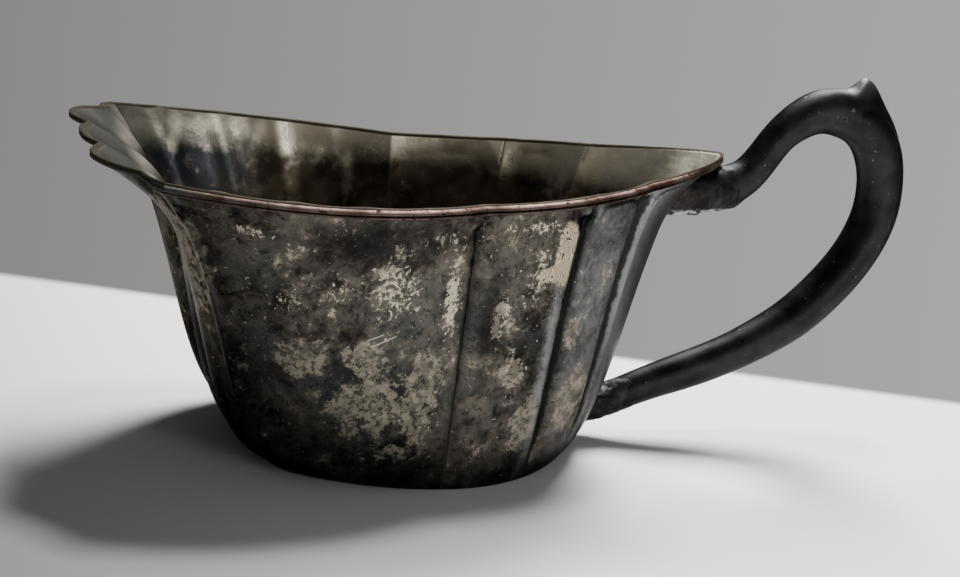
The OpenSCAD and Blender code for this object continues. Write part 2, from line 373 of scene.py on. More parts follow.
# ---- Materials ----
class Surface:
    """One procedural material, built node by node around a Principled shader."""

    def __init__(self, name, metallic=1.0):
        self.material = bpy.data.materials.new(name)
        self.material.use_nodes = True
        self.tree = self.material.node_tree
        self.shader = self.tree.nodes["Principled BSDF"]
        self.shader.inputs["Metallic"].default_value = metallic
        self.shader.inputs["Specular Tint"].default_value = (0.4, 0.4, 0.4, 1)
        coordinates = self.tree.nodes.new("ShaderNodeTexCoord")
        scale = self.tree.nodes.new("ShaderNodeVectorMath")
        scale.operation = "SCALE"
        scale.inputs["Scale"].default_value = 1 / MM
        self.tree.links.new(coordinates.outputs["Object"], scale.inputs[0])
        self.place = scale.outputs[0]

    def put(self, socket, value):
        if isinstance(value, bpy.types.NodeSocket):
            self.tree.links.new(value, socket)
        else:
            socket.default_value = value

    def math(self, operation, first, second=0.0, clamp=False):
        node = self.tree.nodes.new("ShaderNodeMath")
        node.operation = operation
        node.use_clamp = clamp
        self.put(node.inputs[0], first)
        self.put(node.inputs[1], second)
        return node.outputs[0]

    def plus(self, first, second, clamp=False):
        return self.math("ADD", first, second, clamp)

    def minus(self, first, second, clamp=False):
        return self.math("SUBTRACT", first, second, clamp)

    def times(self, first, second, clamp=False):
        return self.math("MULTIPLY", first, second, clamp)

    def larger(self, first, second):
        return self.math("MAXIMUM", first, second)

    def swing(self, noise, amount):
        """A noise spread evenly around 0, amount from end to end."""
        return self.times(self.minus(noise, 0.5), amount)

    def noise(self, scale, detail=4.0, roughness=0.6, distortion=0.0, shift=(0, 0, 0)):
        """Noise with about one blob every 1/scale mm, from 0 to 1."""
        moved = self.tree.nodes.new("ShaderNodeVectorMath")
        moved.operation = "ADD"
        self.put(moved.inputs[0], self.place)
        moved.inputs[1].default_value = shift
        node = self.tree.nodes.new("ShaderNodeTexNoise")
        self.put(node.inputs["Vector"], moved.outputs[0])
        node.inputs["Scale"].default_value = scale
        node.inputs["Detail"].default_value = detail
        node.inputs["Roughness"].default_value = roughness
        node.inputs["Distortion"].default_value = distortion
        return node.outputs["Fac"]

    def ramp(self, value, low, high, to_low=0.0, to_high=1.0):
        """Smooth ramp from to_low, where value is low, to to_high, where it is high."""
        node = self.tree.nodes.new("ShaderNodeMapRange")
        node.interpolation_type = "SMOOTHSTEP"
        self.put(node.inputs["Value"], value)
        node.inputs["From Min"].default_value = low
        node.inputs["From Max"].default_value = high
        node.inputs["To Min"].default_value = to_low
        node.inputs["To Max"].default_value = to_high
        return node.outputs[0]

    def axis(self, name):
        node = self.tree.nodes.new("ShaderNodeSeparateXYZ")
        self.put(node.inputs[0], self.place)
        return node.outputs[name]

    def attribute(self, name):
        node = self.tree.nodes.new("ShaderNodeAttribute")
        node.attribute_name = name
        return node.outputs["Fac"]

    def spot(self, centre, size):
        """1 at the centre of an ellipsoid given in mm, 0 at its surface."""
        offset = self.tree.nodes.new("ShaderNodeVectorMath")
        offset.operation = "SUBTRACT"
        self.put(offset.inputs[0], self.place)
        offset.inputs[1].default_value = centre
        shape = self.tree.nodes.new("ShaderNodeVectorMath")
        shape.operation = "DIVIDE"
        self.put(shape.inputs[0], offset.outputs[0])
        shape.inputs[1].default_value = size
        length = self.tree.nodes.new("ShaderNodeVectorMath")
        length.operation = "LENGTH"
        self.put(length.inputs[0], shape.outputs[0])
        return self.minus(1.0, length.outputs["Value"], clamp=True)

    def spots(self, rows):
        """The strongest of several spots; each row is a centre, a size and a strength."""
        total = None
        for centre, size, strength in rows:
            one = self.times(self.spot(centre, size), strength)
            total = one if total is None else self.larger(total, one)
        return total

    def mix(self, share, first, second):
        """Colour first where share is 0, second where it is 1."""
        node = self.tree.nodes.new("ShaderNodeMix")
        node.data_type = "RGBA"
        self.put(node.inputs["Factor"], share)
        self.put(node.inputs["A"], colour(first))
        self.put(node.inputs["B"], colour(second))
        return node.outputs["Result"]

    def bump(self, height, distance):
        """Fine unevenness: distance is its depth in mm."""
        node = self.tree.nodes.new("ShaderNodeBump")
        node.inputs["Distance"].default_value = distance * MM
        self.put(node.inputs["Height"], height)
        self.put(self.shader.inputs["Normal"], node.outputs[0])

    def finish(self, base_colour, roughness):
        self.put(self.shader.inputs["Base Color"], colour(base_colour))
        self.put(self.shader.inputs["Roughness"], roughness)
        return self.material


def colour(value):
    """A socket stays as it is; three numbers get an alpha."""
    return value if isinstance(value, bpy.types.NodeSocket) else (*value, 1.0)


# Places on the outside: centre and size along each axis in mm, and strength. First where the
# tarnish has flaked off in bright flecks
SPECKLED = [
    ((-15, -28, 36), (7, 8, 10), 1.0),
    ((-5, -25, 33), (2.5, 8, 11), 1.0),
    ((-32, -27, 33), (4, 6, 4), 0.8),
    ((-24, -27, 35), (4, 6, 5), 0.55),
    ((4, -23, 29), (2.5, 6, 7), 1.0),
    ((10, -22, 37), (4, 6, 9), 0.8),
    ((-24, -28, 44.5), (6, 6, 1.6), 0.8),
    ((-6, -28, 43), (11, 6, 2.5), 0.8),
    ((10, -24, 44.5), (8, 6, 1.8), 1.0),
    ((-38, -28, 44), (5, 6, 1.8), 1.0),
    ((-31, -28, 42), (5, 6, 1.6), 0.6),
    ((12, 24, 32), (12, 9, 12), 0.9),
    ((-30, 27, 30), (14, 9, 10), 0.8),
]
# Where it is rubbed away in broad champagne-coloured patches
BARE = [
    ((-28, -26, 24), (6, 8, 5), 0.9),
    ((-19, -26, 24), (6, 8, 4), 0.8),
    ((-17, -26, 17), (9, 8, 9), 1.0),
    ((-8, -25, 17), (5, 8, 11), 1.0),
    ((-11, -24, 8), (9, 8, 4), 0.6),
    ((-37, -25, 21), (5, 9, 8), 0.55),
    ((11, -21, 10), (4, 8, 8), 0.9),
    ((8, -22, 20), (4, 6, 12), 0.5),
    ((22, -17, 12), (5.5, 8, 8), 1.4),
    ((19, -19, 25), (3, 6, 4), 0.8),
    ((-47, -12, 37), (10, 19, 17), 1.4),
    ((-8, 26, 20), (14, 9, 12), 0.9),
    ((24, 15, 20), (8, 8, 12), 0.7),
]
# Where the flecks run together
BLOBS = [
    ((-5.6, -25, 35), (1.6, 8, 3.0), 1.0),
    ((-5.0, -25, 31), (1.3, 8, 2.5), 0.8),
    ((4.2, -23, 31.5), (1.8, 6, 1.6), 1.0),
    ((3.4, -23, 28.0), (1.0, 6, 2.8), 0.9),
    ((-30, 27, 32), (3, 9, 4), 0.8),
]
# Where it is nearly black: partly dark tarnish, partly painted shade
DARKENED = [
    ((-18, -28, 43), (22, 9, 7), 0.8),
    ((2.6, -23, 28), (3.4, 7, 17), 0.9),
    ((-48.5, -24, 45), (2.2, 5, 4), 1.6),
    ((0, 24, 42), (30, 9, 7), 0.7),
]
# Where a thin pale film has dried in rings
SWIRLED = [
    ((15, -22, 40), (2.8, 6, 6.5), 1.0),
    ((12.6, -22, 36.6), (2.8, 6, 1.8), 1.0),
    ((-20, 28, 38), (6, 6, 5), 0.8),
]

# Fine bright scratches: centre, rise along X and half their length in mm
SCRATCHES = [
    ((-15.8, -27, 26.9), 0.45, 2.4),
    ((-17.2, -27, 27.6), 0.40, 1.5),
    ((10, 24, 30), -0.3, 3.0),
]

# Dirt and painted shade in the grooves, the same browner near the lip, and near black for the
# painted shade at the foot and the darkest tarnish
GRIME_AND_SHADE = (0.008, 0.009, 0.009)
LIP_GRIME_AND_SHADE = (0.022, 0.020, 0.0175)
DARK_TARNISH_AND_SHADE = (0.008, 0.007, 0.0065)


class TarnishedSilver(Surface):
    """Outside of the jug. Each layer is a method that paints over the colour it is given."""

    def __init__(self):
        super().__init__("tarnished_silver_outside")
        broad = self.noise(0.055, detail=3, shift=(7, 3, 1))
        self.cloudy = self.noise(0.16, detail=6, roughness=0.68)
        self.mottled = self.noise(0.45, detail=6, roughness=0.7, distortion=0.5, shift=(11, 0, 9))
        self.fine = self.noise(1.4, detail=5, roughness=0.7, distortion=0.4)
        self.pits = self.noise(0.95, detail=5, roughness=0.7, distortion=0.3, shift=(40, 10, 5))
        tone = self.plus(self.times(broad, 0.25), self.times(self.cloudy, 0.35))
        self.tone = self.plus(tone, self.times(self.mottled, 0.40))
        self.ragged = self.plus(self.swing(self.cloudy, 1.3), self.swing(self.mottled, 1.1))
        self.towards_handle = self.ramp(self.axis("X"), 15.5, 20.0)
        # Painted shade: the wall under the overhang of the lip is painted near black
        shade_under_lip = self.spots([((-46, 0, 2), (26, 40, 36), 1.0)])
        self.painted_shade_low_lip = self.ramp(shade_under_lip, 0.15, 0.5, 0.0, 0.9)

    def tarnish(self):
        """Brown-grey on the flanks, satin grey on the panels by the handle, painted shade near
        black under the lip.
        """
        brown_grey = self.mix(self.ramp(self.tone, 0.40, 0.59),
                              (0.010, 0.0093, 0.0084), (0.084, 0.075, 0.062))
        tint = self.noise(0.1, detail=3, shift=(90, 20, 60))
        tinted = self.mix(self.ramp(tint, 0.50, 0.62, 0.0, 0.35), brown_grey, (0.034, 0.039, 0.040))
        satin_grey = self.mix(self.ramp(self.tone, 0.40, 0.58),
                              (0.038, 0.040, 0.040), (0.094, 0.095, 0.094))
        end_panel = self.ramp(self.axis("X"), 27.0, 30.0, 0.0, 0.8)
        satin_grey = self.mix(end_panel, satin_grey, (0.16, 0.162, 0.165))
        plain = self.mix(self.times(self.towards_handle, 0.85), tinted, satin_grey)
        return self.mix(self.painted_shade_low_lip, plain, (0.007, 0.0065, 0.006))

    def rubbed(self, under):
        """Paler where the edges of the panels are rubbed, and a painted highlight on the sharp
        ridge beside the lip.
        """
        uneven = self.ramp(self.mottled, 0.35, 0.6, 0.5, 0.9)
        return self.mix(self.times(self.attribute("rubbed"), uneven), under, (0.15, 0.15, 0.148))

    def specked(self, under):
        """Small black specks, fewer towards the handle."""
        specks = self.noise(0.7, detail=5, roughness=0.75, distortion=0.5, shift=(60, 33, 14))
        share = self.times(self.ramp(specks, 0.56, 0.60, 0.0, 0.6),
                           self.ramp(self.towards_handle, 0.0, 1.0, 1.0, 0.4))
        return self.mix(share, under, (0.006, 0.0055, 0.005))

    def bare_share(self):
        """Ragged bare patches with dark pits in them."""
        patches = self.ramp(self.plus(self.spots(BARE), self.ragged), 0.24, 0.37)
        return self.minus(patches, self.ramp(self.pits, 0.51, 0.535, 0.0, 0.95), clamp=True)

    def fleck_share(self):
        """Bright flecks, each with a thin pale outline around it."""
        density = self.ramp(self.plus(self.spots(SPECKLED), self.ragged), 0.05, 0.85)
        level = self.minus(0.655, self.times(density, 0.135))
        blob = self.times(self.ramp(self.spots(BLOBS), 0.05, 0.6), 0.12)
        over_level = self.minus(self.plus(self.fine, blob), level)
        flecks = self.ramp(over_level, 0.0, 0.012)
        outlines = self.minus(self.ramp(over_level, -0.035, -0.028),
                              self.ramp(over_level, -0.022, -0.015))
        outlines = self.times(outlines, self.times(density, 0.8), clamp=True)
        return self.larger(self.times(flecks, 0.9), outlines)

    def scratched(self, under):
        """Thin bright scratches, each a slanted line that fades out at its ends."""
        for centre, rise, length in SCRATCHES:
            along = self.minus(self.axis("X"), centre[0])
            height = self.plus(self.times(along, rise), centre[2])
            off = self.math("ABSOLUTE", self.minus(self.axis("Z"), height))
            line = self.ramp(off, 0.05, 0.13, 1.0, 0.0)
            near = self.ramp(self.spot(centre, (length, 6, length)), 0.0, 0.3, 0.0, 0.8)
            under = self.mix(self.times(line, near), under, (0.40, 0.37, 0.31))
        return under

    def swirled(self, under):
        """Pale film in rings, which are the level lines of a slow noise."""
        slow = self.noise(0.24, detail=1, shift=(2, 2, 2))
        rings = self.math("SINE", self.times(slow, 150.0))
        edge = self.plus(self.spots(SWIRLED), self.times(self.ragged, 0.6))
        share = self.times(self.ramp(rings, -0.95, -0.1), self.ramp(edge, 0.08, 0.30))
        return self.mix(share, under, (0.35, 0.295, 0.205))

    def grimy_and_shaded(self, under):
        """Black dirt and painted shade in the grooves, browner near the lip."""
        # Painted shade and dirt in the grooves, following the groove attribute
        grime_and_shade = self.mix(self.ramp(self.axis("X"), -30.0, -15.0), LIP_GRIME_AND_SHADE, GRIME_AND_SHADE)
        hollow = self.plus(self.attribute("groove"), self.swing(self.mottled, 1.4))
        return self.mix(self.ramp(hollow, 0.35, 0.75, 0.0, 0.93), under, grime_and_shade)

    def darken_and_shade(self, under):
        """Painted shade at the foot, and a few broad nearly black places, partly dark tarnish and
        partly painted shade.
        """
        # Painted shade, darker towards the foot
        foot = self.ramp(self.axis("Z"), 1.0, 11.0, 0.35, 0.0)
        places = self.plus(self.spots(DARKENED), self.times(self.ragged, 0.4))
        darkened = self.ramp(places, 0.1, 0.6, 0.0, 0.75)
        darkened = self.times(darkened, self.ramp(self.tone, 0.66, 0.48))
        return self.mix(self.larger(foot, darkened), under, DARK_TARNISH_AND_SHADE)

    def unevenness(self):
        """Height of the fine bumps and pits, for the bump."""
        fine = self.plus(self.times(self.fine, 0.5), self.times(self.pits, -0.5))
        return self.plus(fine, self.times(self.cloudy, 2.0))

    def roughness(self, worn):
        """Duller where the plate is worn and under the lip."""
        grain = self.noise(2.6, detail=4, roughness=0.7)
        rough = self.plus(self.times(grain, 0.22), self.times(worn, 0.12))
        rough = self.plus(rough, self.times(self.painted_shade_low_lip, 0.35))
        return self.plus(rough, 0.22)


def tarnished_silver():
    """Silver plate over copper, tarnished dark, with worn and pitted pale patches."""
    s = TarnishedSilver()
    bare = s.bare_share()
    flecks = s.fleck_share()
    champagne = s.mix(s.ramp(s.mottled, 0.38, 0.62), (0.095, 0.086, 0.069), (0.205, 0.182, 0.145))
    worn = s.mix(bare, s.specked(s.rubbed(s.tarnish())), champagne)
    worn = s.mix(flecks, worn, (0.42, 0.37, 0.29))
    marked = s.swirled(s.scratched(worn))
    s.bump(s.unevenness(), 0.07)
    return s.finish(s.darken_and_shade(s.grimy_and_shaded(marked)), s.roughness(s.larger(bare, flecks)))


# Painted highlights on the inside, just under the rim on the far side: centre, size and strength
INSIDE_PAINTED_HIGHLIGHTS = [
    ((-39.5, 28, 46), (1.8, 8, 5.5), 1.0),
    ((-33, 29, 47), (3.5, 8, 2.6), 0.9),
    ((-24, 29, 47), (2.0, 8, 4), 1.0),
    ((-16, 28, 44), (9, 8, 5), 0.6),
    ((-8.5, 27, 43), (1.8, 8, 9), 0.7),
    ((-8.5, 27, 47.5), (5, 8, 2.6), 1.0),
    ((28, 16, 45), (4, 8, 8), 0.5),
    ((39.5, 8, 47), (2.5, 5, 6), 0.5),
    ((-20, -28, 42), (12, 8, 6), 0.6),
    ((10, -23, 42), (8, 8, 6), 0.6),
]


def dark_inside():
    """Inside of the jug: brown-black tarnish, painted light and painted highlights near the rim,
    grey on the lip, painted shade on the upper edge.
    """
    s = Surface("tarnished_silver_inside")
    broad = s.noise(0.07, detail=3, shift=(3, 8, 2))
    cloudy = s.noise(0.22, detail=4)
    dark = s.mix(s.ramp(broad, 0.40, 0.60), (0.055, 0.044, 0.032), (0.17, 0.14, 0.105))
    blue = s.mix(s.ramp(s.axis("X"), -20.0, -32.0, 0.0, 0.9), dark, (0.022, 0.027, 0.034))
    near_rim = s.minus(s.axis("Z"), s.times(cloudy, 5.0))
    along_lip_side = s.ramp(s.axis("X"), -8.0, -30.0, 0.9, 0.35)
    # Painted light: a pale band under the rim, fainter towards the lip
    painted_light_band = s.times(s.ramp(near_rim, 39.5, 44.5), along_lip_side)
    with_painted_light_band = s.mix(painted_light_band, blue, (0.95, 0.86, 0.69))
    uneven = s.swing(s.noise(0.4, detail=5), 1.2)
    # Painted highlights: pale streaks just under the far rim
    painted_highlights = s.ramp(s.plus(s.spots(INSIDE_PAINTED_HIGHLIGHTS), uneven), 0.0, 0.9, 0.0, 0.9)
    pale = s.mix(painted_highlights, with_painted_light_band, (0.85, 0.78, 0.64))
    on_lip = s.ramp(s.axis("X"), -40.0, -52.0)
    grey_lip = s.mix(on_lip, pale, s.mix(cloudy, (0.014, 0.014, 0.013), (0.030, 0.029, 0.027)))
    # Painted shade: the upper edge is darker so that it shows no bright highlight
    shaded_edge = s.mix(s.attribute("edge"), grey_lip, (0.075, 0.067, 0.052))
    s.bump(cloudy, 0.12)
    roughness = s.plus(s.ramp(cloudy, 0.3, 0.7, 0.26, 0.40), s.times(on_lip, 0.25))
    roughness = s.plus(roughness, s.times(s.attribute("edge"), 0.5), clamp=True)
    return s.finish(shaded_edge, roughness)


def worn_copper():
    """Rim wire: plate rubbed through to pink copper on the beads, black in the groove, painted
    shade on the far side.
    """
    s = Surface("worn_copper")
    fine = s.noise(0.8, detail=4, roughness=0.7)
    long_worn = s.noise(0.12, detail=2)
    pink = s.mix(s.ramp(long_worn, 0.40, 0.62), (0.055, 0.036, 0.030), (0.130, 0.094, 0.080))
    spotted = s.mix(s.ramp(fine, 0.56, 0.64), pink, (0.020, 0.014, 0.012))
    grooved = s.mix(s.ramp(s.attribute("groove"), 0.15, 0.7), spotted, (0.012, 0.008, 0.007))
    # Painted shade: the far side of the wire is dimmed so that it shows no bright line
    shaded_far_side = s.mix(s.ramp(s.axis("Y"), 4.0, 14.0, 0.0, 0.85), grooved, (0.030, 0.027, 0.022))
    lip = s.mix(s.ramp(s.axis("X"), -44.0, -50.0), shaded_far_side, (0.085, 0.083, 0.077))
    s.bump(fine, 0.04)
    return s.finish(lip, s.ramp(fine, 0.3, 0.7, 0.46, 0.62))


def dark_cast_metal():
    """Handle: cast metal tarnished nearly black, slightly rubbed on its edges."""
    s = Surface("dark_cast_metal", metallic=0.75)
    cloudy = s.noise(0.14, detail=4)
    fine = s.noise(0.9, detail=5, roughness=0.7)
    black = s.mix(s.ramp(cloudy, 0.38, 0.64), (0.008, 0.009, 0.0095), (0.021, 0.022, 0.023))
    handled = s.spots([((76, 0, 67), (7, 6, 4), 1.0), ((55, -4, 13), (10, 6, 6), 0.3)])
    rubbed = s.mix(s.ramp(handled, 0.1, 0.9, 0.0, 0.5), black, (0.17, 0.165, 0.16))
    specked = s.mix(s.ramp(fine, 0.64, 0.70, 0.0, 0.5), rubbed, (0.20, 0.195, 0.19))
    s.bump(fine, 0.06)
    return s.finish(specked, s.ramp(cloudy, 0.3, 0.7, 0.38, 0.52))


def dull_solder():
    """Rough solder: lead grey, blackened, with whitish crusts, partly a painted highlight, and a
    brown stain.
    """
    s = Surface("dull_solder", metallic=0.8)
    cloudy = s.noise(0.35, detail=4)
    fine = s.noise(1.1, detail=4, roughness=0.7)
    grey = s.mix(s.ramp(cloudy, 0.40, 0.60), (0.009, 0.009, 0.009), (0.030, 0.029, 0.028))
    stain = s.spots([((44, 0, 46), (5, 8, 7), 1.0)])
    stained = s.mix(s.ramp(stain, 0.2, 0.8, 0.0, 0.6), grey, (0.050, 0.034, 0.026))
    # Whitish crust under the upper joint, partly a painted highlight along its lower edge
    crust_and_highlight = s.spots([((48.5, -2, 42), (9, 6, 2.2), 1.0)])
    crust_and_highlight_share = s.times(s.ramp(crust_and_highlight, 0.1, 0.5), s.ramp(fine, 0.42, 0.56))
    crusted_and_highlit = s.mix(crust_and_highlight_share, stained, (0.45, 0.44, 0.42))
    s.bump(fine, 0.12)
    return s.finish(crusted_and_highlit, 0.5)


def pale_floor():
    """White table top, a little darker to the left with painted shade, that ends in a soft edge
    behind the jug.
    """
    s = Surface("pale_floor", metallic=0.0)
    white = s.mix(s.noise(0.02, detail=2), (0.80, 0.79, 0.79), (0.84, 0.83, 0.83))
    # Painted shade: the table darker towards the left
    painted_shade_left = s.mix(s.ramp(s.axis("X"), -20.0, -110.0, 0.0, 0.85), white, (0.32, 0.317, 0.31))
    along = s.tree.nodes.new("ShaderNodeVectorMath")
    along.operation = "DOT_PRODUCT"
    s.put(along.inputs[0], s.place)
    along.inputs[1].default_value = away_from_camera()
    edge = s.ramp(along.outputs["Value"], TABLE_END - 2.5, TABLE_END + 2.5, 1.0, 0.0)
    s.put(s.shader.inputs["Alpha"], edge)
    return s.finish(painted_shade_left, 0.6)


# ---- Pieces ----
WALL_THICKNESS = SHEET * 0.75
EDGE_ROUNDING = 0.35
# Bands in u that are paler: rubbed along a groove on the flank, and a painted highlight on a sharp
# ridge beside the lip
RUBBED_AT = 2.14
RUBBED_WIDTH = 0.05
RIDGE_AT = 3.99
RIDGE_WIDTH = 0.011


def inside_skin():
    """Inside of the wall: softer flutes and shallow ridges, down to the top of the base plate."""
    soft = wall_grid(COLUMNS, WALL_T, INSIDE_SOFTNESS)
    ridges = inside_ridges(COLUMNS, slope_up(WALL_T))[:, :, None]
    soft = soft - grid_normals(soft) * ridges
    inside = soft - grid_normals(soft) * WALL_THICKNESS
    inside[0] = OUTSIDE[0] + np.array([0, 0, SHEET])
    return inside


def rounded_edge(inside):
    """Ring of points that rounds off the upper edge between the two skins."""
    up = OUTSIDE[-1] - OUTSIDE[-2]
    up /= np.linalg.norm(up, axis=1)[:, None]
    return (OUTSIDE[-1] + inside[-1]) / 2 + up * WALL_THICKNESS * EDGE_ROUNDING


def mark_wall(wall):
    """Attributes that the wall's materials read: where it is rubbed or has a painted highlight,
    where it is hollow, and the upper edge darkened as painted shade.
    """
    height_share = slope_up(WALL_T)
    depth = relief(COLUMNS, height_share, rim_height_at(OUTSIDE[-1, :, 0]))
    half = folded(COLUMNS)[None, :]
    low_down = smooth((0.80 - height_share) / 0.2)[:, None]
    high_up = smooth((height_share - 0.4) / 0.3)[:, None]
    # Painted highlight along the sharp ridge beside the lip, carried in the rubbed attribute
    painted_highlight_ridge = np.exp(-((half - RIDGE_AT) / RIDGE_WIDTH) ** 2) * high_up
    rubbed = np.exp(-((half - RUBBED_AT) / RUBBED_WIDTH) ** 2) * low_down + painted_highlight_ridge * 0.8
    inside = np.zeros((RINGS + 1, COUNT))
    set_attribute(wall, "rubbed", np.concatenate([rubbed, inside]).ravel())
    set_attribute(wall, "groove", np.concatenate([depth * (1 - painted_highlight_ridge), inside]).ravel())
    # Upper edge, darkened there as painted shade and made rougher
    shaded_upper_edge = np.zeros((2 * RINGS + 1, COUNT))
    shaded_upper_edge[RINGS - 2:RINGS + 3] = 1
    set_attribute(wall, "edge", shaded_upper_edge.ravel())


def build_wall():
    """Two skins, joined over the rim by a rounded edge and at the foot by a flat one."""
    inside = inside_skin()
    skins = np.concatenate([OUTSIDE, rounded_edge(inside)[None], inside[::-1]])
    faces = ring_faces(len(skins), COUNT, closed=True)
    outer_faces = (RINGS - 1) * COUNT
    inner_faces = len(faces) - outer_faces
    wall = add_mesh("jug_wall", skins.reshape(-1, 3), faces,
                    [tarnished_silver(), dark_inside()],
                    [0] * outer_faces + [1] * inner_faces)
    mark_wall(wall)
    take_place(wall, "body_wall")


DOME = 0.5
BASE_RINGS = 14


def build_base():
    """Flat base plate with a slight dome on its upper side."""
    outline = OUTSIDE[0][:, :2]
    shrink = np.linspace(1, 0, BASE_RINGS, endpoint=False)
    under = [np.column_stack([outline * k, np.zeros(COUNT)]) for k in shrink]
    over = [np.column_stack([outline * k, np.full(COUNT, SHEET + DOME * (1 - k * k))])
            for k in shrink]
    grid = np.array(under[::-1] + over)
    points = np.concatenate([grid.reshape(-1, 3), [[0, 0, 0], [0, 0, SHEET + DOME]]])
    faces = ring_faces(2 * BASE_RINGS, COUNT)
    low_centre = len(points) - 2
    high_centre = len(points) - 1
    last = (2 * BASE_RINGS - 1) * COUNT
    for j in range(COUNT):
        k = (j + 1) % COUNT
        faces.append((low_centre, k, j))
        faces.append((high_centre, last + j, last + k))
    outer_faces = (BASE_RINGS - 1) * COUNT
    inner_faces = BASE_RINGS * COUNT
    base = add_mesh("jug_base", points, faces,
                    [tarnished_silver(), dark_inside()],
                    [0] * outer_faces + [1] * inner_faces + [0, 1] * COUNT)
    take_place(base, "base_plate")


# How far the wire stands out in mm, and by how much it shrinks along the lip
WIRE_POINTS = 22
WIRE_STAND = 0.85
WIRE_SET_IN = 0.15
LIP_HEIGHT_LOSS = 0.55
LIP_STAND_LOSS = 0.65


def wire_section():
    """Two beads: shares of the way up the wire and of its stand, and how deep in the groove."""
    s = np.linspace(0, 1, WIRE_POINTS)
    up = -0.02 + 1.04 * s
    beads = np.abs(np.sin(2 * math.pi * s))
    ends = np.sin(math.pi * s) ** 0.35
    stand = (0.30 + 0.62 * beads ** 0.7) * ends
    groove = np.exp(-((s - 0.5) / 0.07) ** 2)
    return up, stand, groove


def build_rim_wire():
    """Two beads with a groove between them, thinning out along the lip."""
    up, stand, groove = wire_section()
    top = OUTSIDE[-1]
    normal = OUTSIDE_NORMALS[-1]
    along_wall = OUTSIDE[-1] - OUTSIDE[-6]
    along_wall /= np.linalg.norm(along_wall, axis=1)[:, None]
    share = smooth(lip_share(COLUMNS) * 2.5)
    height = WIRE_HEIGHT * (1 - LIP_HEIGHT_LOSS * share)
    reach = WIRE_STAND * (1 - LIP_STAND_LOSS * share)
    rings = []
    for up_share, out_share in zip(up, stand):
        below_top = along_wall * (height * (1 - up_share))[:, None]
        rings.append(top - below_top + normal * (reach * out_share)[:, None])
    back = top - normal * WIRE_SET_IN
    rings.append(back)
    rings.append(back - along_wall * height[:, None])
    rings = np.array(rings)
    faces = ring_faces(len(rings), COUNT, closed=True)
    wire = add_mesh("jug_rim_wire", rings.reshape(-1, 3), faces, [worn_copper()])
    depth = np.concatenate([groove, [0, 0]])
    set_attribute(wire, "groove", np.repeat(depth, COUNT))
    take_place(wire, "rim_wire")


# Course of the handle from its lower end, around the back, to its upper end. Each row is the
# place of the centre line, x and z in mm, and the thickness there.
COURSE = np.array([
    [37.0, 7.0, 5.9],
    [44.9, 10.1, 6.4],
    [51.8, 12.4, 7.0],
    [59.4, 15.4, 7.2],
    [66.1, 18.9, 7.7],
    [73.2, 23.7, 8.2],
    [81.1, 32.7, 8.4],
    [85.1, 41.8, 8.6],
    [84.9, 50.0, 8.6],
    [82.4, 56.3, 8.9],
    [78.6, 60.0, 9.0],
    [74.0, 61.4, 8.6],
    [70.0, 61.5, 8.0],
    [66.3, 60.0, 7.2],
    [62.3, 56.7, 6.3],
    [59.3, 52.0, 6.3],
    [56.7, 48.8, 6.7],
    [53.2, 46.9, 7.6],
])
# Width of the section as a share of its thickness
HANDLE_WIDTH = 0.9
HANDLE_STEPS = 12
HANDLE_POINTS = 56
SMOOTHING_PASSES = 24
# The thumb spur: where it stands, its height, and how far it spreads on its lip side and on
# its back
SPUR_X = 77.1
SPUR_HEIGHT = 2.9
SPUR_SPREAD = (1.5, 4.0)
# The crease that runs down from the spur along both sides of the back
CREASE_DEPTH = 0.45
CREASE_WIDTH = 0.16
CREASE_END = 12.5


def spline(rows, steps):
    """Catmull-Rom curve through the rows, with that many points for each stretch."""
    padded = np.vstack([rows[0], rows, rows[-1]])
    points = []
    for a, b, c, d in zip(padded, padded[1:], padded[2:], padded[3:]):
        for s in np.linspace(0, 1, steps, endpoint=False):
            points.append(0.5 * (2 * b + (c - a) * s + (2 * a - 5 * b + 4 * c - d) * s * s
                                 + (3 * b - a - 3 * c + d) * s ** 3))
    points.append(rows[-1])
    return np.array(points)


def handle_course():
    """Centre line and thickness along the handle, smoothed."""
    course = spline(COURSE, HANDLE_STEPS)
    for _ in range(SMOOTHING_PASSES):
        course[1:-1] = (course[:-2] + 2 * course[1:-1] + course[2:]) / 4
    return course


def handle_section(radius, outer_x, outer_z):
    """Reach inwards and to the side of each point of a ring whose outermost point is given."""
    angle = np.linspace(0, 2 * math.pi, HANDLE_POINTS, endpoint=False)
    past_spur = outer_x - SPUR_X
    spread = SPUR_SPREAD[1] if past_spur > 0 else SPUR_SPREAD[0]
    spur = SPUR_HEIGHT * math.exp(-(past_spur / spread) ** 2) if outer_z > HEEL_TOP else 0
    outer = np.maximum(-np.cos(angle), 0)
    crease_share = smooth((past_spur + 1) / 2) * smooth((CREASE_END - past_spur) / 4)
    crease_share *= smooth((outer_z - 44) / 6)
    crease_place = 1.15 - 0.075 * past_spur
    from_crease = (np.abs(angle - math.pi) - crease_place) / CREASE_WIDTH
    crease = CREASE_DEPTH * crease_share * np.exp(-from_crease ** 2)
    reach = (radius - crease) * np.cos(angle) - spur * outer ** 4
    side = -(radius - crease) * HANDLE_WIDTH * np.sin(angle)
    return reach, side


def handle_rings():
    """Rings of points around the handle. The first point of each is on the loop's inner side."""
    course = handle_course()
    along = np.gradient(course[:, :2], axis=0)
    along /= np.linalg.norm(along, axis=1)[:, None]
    inward = np.column_stack([-along[:, 1], along[:, 0]])
    rings = []
    for centre, across in zip(course, inward):
        radius = centre[2] / 2
        outer_x, outer_z = centre[:2] - across * radius
        reach, side = handle_section(radius, outer_x, outer_z)
        rings.append(np.column_stack([
            centre[0] + across[0] * reach,
            side,
            centre[1] + across[1] * reach,
        ]))
    return np.array(rings)


HANDLE_RINGS = handle_rings()


def close_ends(rings, count):
    """Faces of a loft of rings with a flat face over each end."""
    faces = ring_faces(rings, count)
    faces.append(tuple(range(count - 1, -1, -1)))
    faces.append(tuple(range((rings - 1) * count, rings * count)))
    return faces


